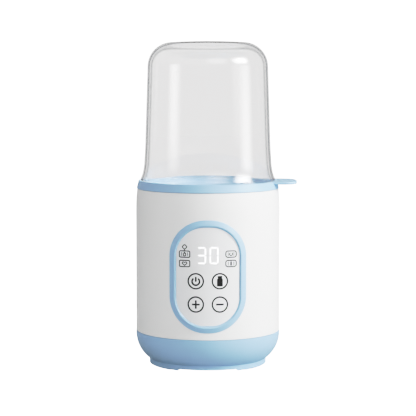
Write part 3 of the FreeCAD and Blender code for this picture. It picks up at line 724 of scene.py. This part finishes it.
@dataclass
class Bezel:
    """Oval frame, a crowned band with a bevel down to the panel. Sizes in mm."""

    outer: tuple[float, float, float] = (30.5, 45.05, 29.0)
    inner: tuple[float, float, float] = (25.2, 39.3, 23.2)
    crest: float = 60.6
    # Share of the way from the outer edge to the inner one, and drop from the crest.
    section: tuple[tuple[float, ...], ...] = (
        (0.0, 1.57), (0.0, 1.36, 0.2), (0.07, 1.14, 1.5), (0.68, 0.0, 1.3), (0.77, 0.08, 0.6),
        (0.985, 1.35, 0.15), (1.0, 1.55), (1.0, 3.3), (0.3, 3.3), (0.3, 1.57))

    def band(self) -> list[Point]:
        """The cross-section with its corners rounded.

        Returns:
            Share across the band and radius from the warmer's axis, of each point.
        """
        width = self.outer[0] - self.inner[0]
        corners = [(row[0] * width, self.crest - row[1], *row[2:]) for row in self.section]
        return [(across / width, radius) for across, radius in rounded(corners)]

    def build(self) -> bpy.types.Object:
        """Sweeps the band round the panel's opening.

        Returns:
            The bezel.
        """
        centre_z = middle("control_panel").z
        outer, inner = oblong(*self.outer), oblong(*self.inner)
        section = self.band()
        points, faces = [], []
        for (ox, oz), (ix, iz) in zip(outer, inner):
            for across, radius in section:
                x = ox + (ix - ox) * across
                points.append((x, -math.sqrt(radius ** 2 - x ** 2), centre_z + oz + (iz - oz) * across))
        rows, around = len(section), len(outer)
        for i in range(around):
            for j in range(rows):
                here, on = i * rows, (i + 1) % around * rows
                faces.append((here + j, here + (j + 1) % rows, on + (j + 1) % rows, on + j))
        piece = mesh_piece("panel_frame", points, faces, 50.0)
        settle(piece, "body", PALE_BLUE)
        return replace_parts(piece, "panel_bezel")


@dataclass
class Artwork:
    """Flat shapes in mm, wrapped on the panel as one thin film.

    Args:
        points: Corners of the shapes.
        faces: Their quads.
        end_steps: Steps in half of a round end.
        stride: Longest step along a line.
        least: What is left of the width at the tip of a round or mitred end, which never closes to nothing.
        lift: Gap between the panel and the film's back.
    """

    points: list[Point] = field(default_factory=list)
    faces: list[tuple[int, ...]] = field(default_factory=list)
    end_steps: int = 6
    stride: float = 0.5
    least: float = 0.01
    lift: float = 0.005

    def grid(self, rows: list[list[Point]], closed: bool = False) -> None:
        """Adds a sheet of quads.

        Args:
            rows: Rows of points, all as long as each other.
            closed: Whether the last row joins the first.
        """
        start, wide = len(self.points), len(rows[0])
        for row in rows:
            self.points.extend(row)
        for i in range(len(rows) if closed else len(rows) - 1):
            here, on = start + i * wide, start + (i + 1) % len(rows) * wide
            self.faces.extend((here + j, here + j + 1, on + j + 1, on + j) for j in range(wide - 1))

    def loop(self, line: list[Point], width: float) -> None:
        """Adds a closed line.

        Args:
            line: Its middle.
            width: Its width.
        """
        rows = []
        for i, here in enumerate(line):
            back, on = Vector(line[i - 1]), Vector(line[(i + 1) % len(line)])
            along = (on - back).normalized()
            side = Vector((-along.y, along.x)) * width / 2
            rows.append([tuple(Vector(here) - side), tuple(Vector(here) + side)])
        self.grid(rows, closed=True)

    def stroke(self, line: list[Point], width: float, end: StrokeEnd) -> None:
        """Adds an open line.

        Args:
            line: Its middle.
            width: Its width.
            end: How it ends.
        """
        corners = [Vector(p) for p in line]
        gone = [0.0]
        for a, b in zip(corners, corners[1:]):
            gone.append(gone[-1] + (b - a).length)
        length, half = gone[-1], width / 2
        near = [half * (1 - math.cos(math.pi / 2 * i / self.end_steps)) for i in range(self.end_steps + 1)]
        inside = max(2, math.ceil((length - width) / self.stride))
        stops = near + [half + (length - width) * i / inside for i in range(1, inside)]
        stops += [length - s for s in near[::-1]]
        rows = []
        for stop in stops:
            leg = max(i for i in range(len(corners) - 1) if gone[i] <= stop + 1e-9)
            along = (corners[leg + 1] - corners[leg]).normalized()
            here = corners[leg] + along * (stop - gone[leg])
            room = min(stop, length - stop)
            reach = half
            if end is StrokeEnd.ROUND and room < half:
                reach = math.sqrt(max(half ** 2 - (half - room) ** 2, 0.0))
            elif end is StrokeEnd.MITRED:
                reach = min(half, room)
            side = Vector((-along.y, along.x)) * max(reach, self.least)
            rows.append([tuple(here - side), tuple(here + side)])
        self.grid(rows)

    def film(self, name: str, finish: Finish, slot: str, radius: float, thickness: float) -> bpy.types.Object:
        """Wraps the shapes on the panel.

        Args:
            name: The piece's name.
            finish: Its ink or its lit plastic.
            slot: The record's material slot; not used.
            radius: Radius of the panel's outer face.
            thickness: How far the film stands proud.

        Returns:
            The piece.
        """
        layers = []
        for rho in (radius + thickness, radius + self.lift):
            layers.extend((x, -math.sqrt(rho ** 2 - x ** 2), z) for x, z in self.points)
        under = len(self.points)
        used: dict[tuple[int, int], int] = {}
        for face in self.faces:
            for a, b in zip(face, face[1:] + face[:1]):
                used[a, b] = used.get((a, b), 0) + 1
        faces = [*self.faces, *(tuple(i + under for i in face[::-1]) for face in self.faces)]
        faces += [(b, a, a + under, b + under) for a, b in used if (b, a) not in used]
        piece = mesh_piece(name, layers, faces, 30.0)
        return settle(piece, "body", finish)


@dataclass
class ControlPanel:
    """Curved panel with printed keys and mode marks, and a lit number. Sizes in mm."""

    face_r: float = 59.2
    film: float = 0.05
    key_r: float = 6.0
    key_line: float = 1.1
    mark_line: float = 1.25
    digit: tuple[float, float] = (7.1, 13.4)
    digit_pitch: float = 9.85
    digit_line: float = 1.12
    number: str = "30"
    frame_size: tuple[float, float] = (4.15, 2.5)
    frame_line: float = 0.75
    glyph_line: float = 0.65
    # Which of a digit's seven bars are lit, and how far each stops short of the corner.
    segments: tuple[tuple[str, str], ...] = (("3", "abcdg"), ("0", "abcdef"))
    bar_gap: float = 0.2
    # Power mark: radius and drop of its arc, the arc's ends in degrees, and its bar.
    power_arc: Point = (2.95, 0.25)
    power_ends: Point = (126.0, 414.0)
    power_bar: Point = (-0.5, 3.6)
    # Half lengths of the plus and minus bars.
    plus_reach: Point = (3.05, 3.3)
    minus_reach: float = 3.0
    # Bottle mark, from the cap down: half width and height, and columns of quads on each side of its middle.
    bottle: tuple[Point, ...] = (
        (1.65, 4.1), (1.8, 3.95), (1.8, 3.0), (1.5, 2.9), (1.5, 2.5), (1.8, 2.25), (2.15, 1.7),
        (2.25, 0.9), (2.25, -3.6), (2.12, -3.95), (1.8, -4.1))
    bottle_columns: int = 3
    # Middle of a mode frame, measured in from the outer corner of its light guide.
    guide_half: Point = (3.8, 2.5)
    # Corner radius of the mode frames on the left and on the right.
    frame_corners: Point = (1.0, 1.7)
    # Water mark over the upper left frame: its stem's two ends, then its drop's height, half size and corner,
    # and the cosine of the eighth turn that stands the drop on its corner.
    water_stem: Point = (2.8, 4.3)
    water_drop: tuple[float, float, float] = (5.75, 1.45, 0.75)
    eighth_turn: float = 0.7
    # Small bottle in that frame: half width, half height and corner, its drop below the frame's middle,
    # then its cap's half width and height.
    small_bottle: tuple[float, float, float] = (0.85, 1.05, 0.35)
    bottle_drop: float = 0.35
    cap: Point = (0.5, 1.35)
    # Heart under it: half width, height of one unit of its curve, lift over the frame's middle.
    heart_size: tuple[float, float, float] = (1.85, 0.1, 0.05)
    heart_steps: int = 48
    # Open ring in the upper right frame: radius, and its ends in degrees.
    open_ring: tuple[float, float, float] = (1.2, 125.0, 415.0)
    # Bar in the lower right frame: half length and width.
    short_bar: Point = (1.8, 1.1)
    # Upright hairlines in a mode frame: distance from its middle, half length, width.
    hairline: tuple[float, float, float] = (2.25, 1.5, 0.45)

    def build(self) -> None:
        """Prints the panel and lights its number."""
        dress(LENS_WHITE, "control_panel")
        self.keys()
        self.modes()
        self.lit_number()

    def circle(self, x: float, z: float, radius: float, steps: int = 64) -> list[Point]:
        """Points of a circle.

        Args:
            x: Its centre.
            z: Its centre.
            radius: Its radius.
            steps: How many points.

        Returns:
            The points.
        """
        return self.arc(x, z, radius, 0.0, 360.0, steps)[:-1]

    def arc(self, x: float, z: float, radius: float, start: float, end: float,
            steps: int = 40) -> list[Point]:
        """Points of an arc.

        Args:
            x: Its centre.
            z: Its centre.
            radius: Its radius.
            start: Start angle in degrees.
            end: End angle in degrees.
            steps: How many steps.

        Returns:
            The points.
        """
        angles = [math.radians(start + (end - start) * i / steps) for i in range(steps + 1)]
        return [(x + radius * math.cos(a), z + radius * math.sin(a)) for a in angles]

    def keys(self) -> None:
        """Prints the rings and marks of the four touch keys over their springs."""
        rings, marks, bottle = Artwork(), Artwork(), Artwork()
        places = {name: middle(f"touch_spring_{number}") for name, number in
                  (("power", 1), ("plus", 2), ("bottle", 3), ("minus", 4))}
        for place in places.values():
            rings.loop(self.circle(place.x, place.z, self.key_r), self.key_line)
        x, z = places["power"].x, places["power"].z
        power_r, drop = self.power_arc
        marks.stroke(self.arc(x, z - drop, power_r, *self.power_ends), self.mark_line, StrokeEnd.ROUND)
        marks.stroke([(x, z + end) for end in self.power_bar], self.mark_line, StrokeEnd.ROUND)
        x, z = places["plus"].x, places["plus"].z
        across, up = self.plus_reach
        marks.stroke([(x - across, z), (x + across, z)], self.mark_line, StrokeEnd.SQUARE)
        for way in (1, -1):
            half_bar = [(x, z + way * self.mark_line / 2), (x, z + way * up)]
            marks.stroke(half_bar, self.mark_line, StrokeEnd.SQUARE)
        x, z = places["minus"].x, places["minus"].z
        across = self.minus_reach
        marks.stroke([(x - across, z), (x + across, z)], self.mark_line, StrokeEnd.SQUARE)
        x, z = places["bottle"].x, places["bottle"].z
        columns = self.bottle_columns
        bottle.grid([[(x + half * side / columns, z + height) for side in range(-columns, columns + 1)]
                     for half, height in self.bottle])
        rings.film("key_rings", PRINT_INK, "display_black", self.face_r, self.film)
        marks.film("key_marks", PRINT_INK, "display_black", self.face_r, self.film)
        bottle.film("bottle_mark", BLACK_INK, "display_black", self.face_r, self.film)

    def heart(self, x: float, z: float) -> list[Point]:
        """Points of the small heart.

        Args:
            x: Middle of its frame.
            z: Middle of its frame.

        Returns:
            The points.
        """
        half, unit, lift = self.heart_size
        points = []
        for i in range(self.heart_steps):
            t = 2 * math.pi * i / self.heart_steps
            rise = 13 * math.cos(t) - 5 * math.cos(2 * t) - 2 * math.cos(3 * t) - math.cos(4 * t)
            points.append((x + half * math.sin(t) ** 3, z + lift + unit * rise))
        return points

    def modes(self) -> None:
        """Prints the four small mode frames, their marks and the water mark above one of them."""
        art = Artwork()
        low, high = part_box("mode_light_guides")
        reach = high.x / MM - self.guide_half[0]
        upper, lower = high.z / MM - self.guide_half[1], low.z / MM + self.guide_half[1]
        line, thin = self.frame_line, self.glyph_line
        for side, corner in zip((-1, 1), self.frame_corners):
            for z in (upper, lower):
                shape = oblong(*self.frame_size, corner, 8, 8)
                art.loop([(side * reach + dx, z + dz) for dx, dz in shape], line)
        x, turn = -reach, self.eighth_turn
        art.stroke([(x, upper + end) for end in self.water_stem], thin, StrokeEnd.SQUARE)
        height, half, corner = self.water_drop
        diamond = oblong(half, half, corner, 6, 3)
        art.loop([(x + (dx - dz) * turn, upper + height + (dx + dz) * turn) for dx, dz in diamond], thin)
        bottle = oblong(*self.small_bottle, 5, 4)
        art.loop([(x + dx, upper - self.bottle_drop + dz) for dx, dz in bottle], thin)
        half, height = self.cap
        art.stroke([(x - half, upper + height), (x + half, upper + height)], thin, StrokeEnd.SQUARE)
        art.loop(self.heart(x, lower), thin)
        off, half, hair = self.hairline
        for side, z in ((-reach, upper), (reach, upper), (reach, lower)):
            for dx in (-off, off):
                art.stroke([(side + dx, z - half), (side + dx, z + half)], hair, StrokeEnd.SQUARE)
        x = reach
        art.stroke(self.arc(x, upper, *self.open_ring), thin, StrokeEnd.SQUARE)
        half, width = self.short_bar
        art.stroke([(x, lower - half), (x, lower + half)], width, StrokeEnd.ROUND)
        art.film("mode_marks", PRINT_INK, "display_black", self.face_r, self.film)

    def lit_number(self) -> None:
        """Lights the digits' segments in front of the display's bars."""
        art, centre = Artwork(), middle("digit_segments")
        wide, tall = self.digit[0] - self.digit_line, self.digit[1] - self.digit_line
        x, z, gap = wide / 2, tall / 2, self.bar_gap
        lines = {"a": [(-x + gap, z), (x - gap, z)], "b": [(x, z - gap), (x, gap)],
                 "c": [(x, -gap), (x, -z + gap)],
                 "d": [(-x + gap, -z), (x - gap, -z)], "e": [(-x, -gap), (-x, -z + gap)],
                 "f": [(-x, z - gap), (-x, gap)], "g": [(-x + gap, 0.0), (x - gap, 0.0)]}
        lit = dict(self.segments)
        for place, figure in enumerate(self.number):
            shift = centre.x + (place - (len(self.number) - 1) / 2) * self.digit_pitch
            for letter in lit[figure]:
                line = [(shift + dx, centre.z + dz) for dx, dz in lines[letter]]
                art.stroke(line, self.digit_line, StrokeEnd.MITRED)
        art.film("lit_number", LIT_WHITE, "lit_white", self.face_r, self.film)


# ---- Inside -----------------------------------------------------------------------------------------
@dataclass
class WaterChamber:
    """Steel chamber with its seal, clamp ring and screws."""

    def dress(self) -> None:
        """Finishes the chamber's parts."""
        dress(DRAWN_STEEL, "water_chamber")
        dress(SILICONE, "chamber_seal")
        dress(ZINC_PLATE, "chamber_clamp_ring", "clamp_ring_screws")


@dataclass
class HeaterPack:
    """Heater, its spreader and strap, sensor, thermal fuse and their leads."""

    def dress(self) -> None:
        """Finishes the heater's parts."""
        dress(MILLED_ALUMINIUM, "heater_plate", "temperature_sensor")
        dress(CERAMIC_PACK, "ptc_heater")
        dress(ZINC_PLATE, "heater_bracket", "heater_screws", "fuse_clip", "thermal_fuse")
        dress(WIRE_SILICONE, "heater_leads")
        dress(SENSOR_WIRE, "sensor_leads")


@dataclass
class Electronics:
    """Control board behind the panel, power board in the base, mains inlet at the back."""

    springs: int = 4
    pins: int = 2

    def dress(self) -> None:
        """Finishes the boards, what stands on them and the wiring."""
        dress(PANEL_BOARD, "control_board")
        dress(POWER_BOARD, "power_board")
        dress(ZINC_PLATE, "control_board_screws", "power_board_screws",
              *(f"touch_spring_{n}" for n in range(1, self.springs + 1)))
        dress(DISPLAY_BLACK, "display_module", "control_chip")
        dress(LIT_WHITE, "digit_segments")
        dress(CLEAR_ACRYLIC, "mode_light_guides")
        dress(BLACK_NYLON, "buzzer", "heater_triac", "mains_inlet")
        dress(WHITE_NYLON, "board_connector", "board_terminals")
        dress(RELAY_BLUE, "power_relay", "film_capacitor")
        dress(WOUND_TAPE, "transformer_coil")
        dress(FERRITE, "transformer_core")
        dress(CAN_SLEEVE, "filter_capacitor")
        dress(MILLED_ALUMINIUM, "triac_heat_sink")
        dress(WIRE_SILICONE, "mains_leads")
        dress(RIBBON, "panel_ribbon")
        dress(NICKEL_PLATE, *(f"inlet_pin_{n}" for n in range(1, self.pins + 1)))


# ---- Studio -----------------------------------------------------------------------------------------
@dataclass(frozen=True)
class Softbox:
    """A soft rectangular light that faces the warmer. Sizes in metres, angles in degrees from the front.

    Args:
        name: Its name.
        azimuth: Where it stands, positive towards the finger tab.
        height: Height of its middle.
        distance: Distance from the warmer's axis.
        width: Width of its cloth.
        tall: Height of its cloth.
        power: Watts.
        target_z: Height that it faces.
        feather: Share of the cloth, from each edge, over which it fades out.
    """

    name: str
    azimuth: float
    height: float
    distance: float
    width: float
    tall: float
    power: float
    target_z: float = 0.14
    feather: float = 0.5

    def fade(self, tree: bpy.types.NodeTree, along: bpy.types.NodeSocket) -> bpy.types.NodeSocket:
        """Fades the cloth out towards two opposite edges.

        Args:
            tree: The light's nodes.
            along: Where on the cloth the light comes from, from nought at one edge to one at the other.

        Returns:
            The brightness, one in the middle.
        """
        off = add_node(tree, "Math", {"operation": "SUBTRACT", 1: 0.5}, {0: along})
        away = add_node(tree, "Math", {"operation": "ABSOLUTE"}, {0: off.outputs[0]})
        settings = {"interpolation_type": "SMOOTHSTEP", "From Min": 0.5, "From Max": 0.5 - self.feather}
        return add_node(tree, "MapRange", settings, {"Value": away.outputs[0]}).outputs[0]

    def light_cloth(self, tree: bpy.types.NodeTree) -> None:
        """Makes the cloth glow, brightest in its middle.

        Args:
            tree: The light's nodes.
        """
        tree.nodes.clear()
        cloth = add_node(tree, "NewGeometry").outputs["Parametric"]
        spot = add_node(tree, "SeparateXYZ", links={"Vector": cloth})
        across, up = (self.fade(tree, spot.outputs[axis]) for axis in ("X", "Y"))
        level = add_node(tree, "Math", {"operation": "MULTIPLY"}, {0: across, 1: up})
        # The share of the light that the fade leaves. Dividing by it keeps the lamp's power true.
        left = (1 - self.feather) ** 2
        even = add_node(tree, "Math", {"operation": "DIVIDE", 1: left}, {0: level.outputs[0]})
        glow = add_node(tree, "Emission", links={"Strength": even.outputs[0]})
        add_node(tree, "OutputLight", links={"Surface": glow.outputs[0]})

    def place(self) -> None:
        """Hangs the light."""
        light = bpy.data.lights.new(self.name, "AREA")
        light.shape = "RECTANGLE"
        light.size = self.width
        light.size_y = self.tall
        light.energy = self.power
        light.use_nodes = True
        self.light_cloth(light.node_tree)
        lamp = bpy.data.objects.new(self.name, light)
        bpy.context.scene.collection.objects.link(lamp)
        angle = math.radians(self.azimuth)
        lamp.location = (self.distance * math.sin(angle), -self.distance * math.cos(angle), self.height)
        aim = Vector((0, 0, self.target_z)) - lamp.location
        lamp.rotation_euler = aim.to_track_quat("-Z", "Y").to_euler()


@dataclass
class Studio:
    """White sweep, even fill, softboxes and the camera. Sizes in metres.

    The backdrop and the floor give three levels of white: one to the lens, one through clear plastic,
    and a dimmer one to everything that they light.

    Args:
        floor_half: Half the floor's side.
        fill: Backdrop's brightness as a light.
        seen: Brightness to the lens.
        through: Brightness through clear plastic.
        floor_light: Part of that which the matt floor gives by itself.
        floor_grey: Colour of the matt floor, sRGB hex.
        backdrop: Colour of the backdrop, sRGB hex.
        lens_mm: Focal length.
        sensor_mm: Width of the sensor.
        camera_place: Where the camera stands.
        pitch_deg: How far it looks down.
        film_white: Scene light that prints as pure white.
        film: How the film rolls off its highlights: scene light, and what it prints as, both linear.
        lights: The softboxes.
    """

    floor_half: float = 4.0
    fill: float = 0.52
    seen: float = 3.0
    through: float = 1.25
    floor_light: float = 0.29
    floor_grey: str = "BCBCBC"
    backdrop: str = "FFFFFF"
    lens_mm: float = 143.5
    sensor_mm: float = 36.0
    camera_place: tuple[float, float, float] = (0.00015, -1.360, 0.2514)
    pitch_deg: float = 5.18
    film_white: float = 2.6
    film: tuple[Point, ...] = ((0.3, 0.3), (0.6, 0.6), (0.97, 0.77), (1.33, 0.865), (1.9, 0.94))
    lights: tuple[Softbox, ...] = (
        Softbox("key_softbox", 68.0, 0.66, 0.97, 0.78, 0.6, 13.3),
        Softbox("right_strip", 74.0, 0.21, 1.1, 0.7, 0.6, 2.2),
        Softbox("front_softbox", 18.0, 1.0, 1.5, 1.7, 1.3, 5.6),
        Softbox("left_strip", -64.0, 0.21, 1.1, 0.7, 0.6, 0.95),
    )

    def build(self) -> None:
        """Sets up the stage, the lights and the camera."""
        self.make_floor()
        self.make_world()
        for light in self.lights:
            light.place()
        self.make_camera()

    def level(self, tree: bpy.types.NodeTree, dim: float, through: float) -> bpy.types.NodeSocket:
        """How bright the white is for the ray that meets it.

        Args:
            tree: The floor's or the world's nodes.
            dim: Its brightness for a ray that lights the warmer.
            through: Its brightness for a ray that comes through clear plastic.

        Returns:
            The brightness.
        """
        path = add_node(tree, "LightPath")
        direct = add_node(tree, "Math", {"operation": "SUBTRACT"},
                          {0: path.outputs["Is Transmission Ray"], 1: path.outputs["Diffuse Depth"]})
        dome = add_node(tree, "MapRange", {"To Min": dim, "To Max": through}, {"Value": direct.outputs[0]})
        settings = {"operation": "MULTIPLY", 1: self.seen}
        lens = add_node(tree, "Math", settings, {0: path.outputs["Is Camera Ray"]})
        both = add_node(tree, "Math", {"operation": "MAXIMUM"}, {0: dome.outputs[0], 1: lens.outputs[0]})
        return both.outputs[0]

    def make_floor(self) -> None:
        """A plain pale floor that glows enough to print white."""
        h = self.floor_half / MM
        floor = mesh_piece("studio_floor", [(-h, -h, 0), (h, -h, 0), (h, h, 0), (-h, h, 0)], [(0, 1, 2, 3)])
        material = bpy.data.materials.new("white_sweep")
        material.use_nodes = True
        tree = material.node_tree
        tree.nodes.clear()
        matt = add_node(tree, "BsdfDiffuse", {"Color": linear(self.floor_grey)})
        level = self.level(tree, 0.0, self.through - self.floor_light)
        glow = add_node(tree, "Emission", links={"Strength": level})
        both = add_node(tree, "AddShader", links={0: matt.outputs[0], 1: glow.outputs[0]})
        add_node(tree, "OutputMaterial", links={"Surface": both.outputs[0]})
        floor.data.materials.append(material)

    def make_world(self) -> None:
        """An even fill from all round, behind which the backdrop prints white."""
        world = bpy.data.worlds.new("studio")
        bpy.context.scene.world = world
        world.use_nodes = True
        tree = world.node_tree
        tree.nodes.clear()
        level = self.level(tree, self.fill, self.through)
        sky = add_node(tree, "Background", {"Color": linear(self.backdrop)}, {"Strength": level})
        add_node(tree, "OutputWorld", links={"Surface": sky.outputs["Background"]})

    def make_camera(self) -> None:
        """The camera, level across and pitched a little down, and its film."""
        lens = bpy.data.cameras.new("camera")
        lens.lens = self.lens_mm
        lens.sensor_width = self.sensor_mm
        camera = bpy.data.objects.new("camera", lens)
        bpy.context.scene.collection.objects.link(camera)
        camera.location = self.camera_place
        camera.rotation_euler = (math.radians(90 - self.pitch_deg), 0, 0)
        bpy.context.scene.camera = camera
        film = bpy.context.scene.view_settings
        film.view_transform = "Standard"
        film.use_curve_mapping = True
        film.curve_mapping.white_level = (self.film_white,) * 3
        curve = film.curve_mapping.curves[3]
        for light, print_level in self.film:
            curve.points.new(light / self.film_white, print_level)
        film.curve_mapping.update()


def main() -> None:
    """Builds and dresses the warmer, then its studio."""
    logging.basicConfig(level=logging.INFO, format="%(name)s: %(message)s")
    Studio().build()
    Enclosure().dress()
    Basket().dress()
    Dome().build()
    Bezel().build()
    ControlPanel().build()
    WaterChamber().dress()
    HeaterPack().dress()
    Electronics().dress()


if __name__ == "__main__":
    main()
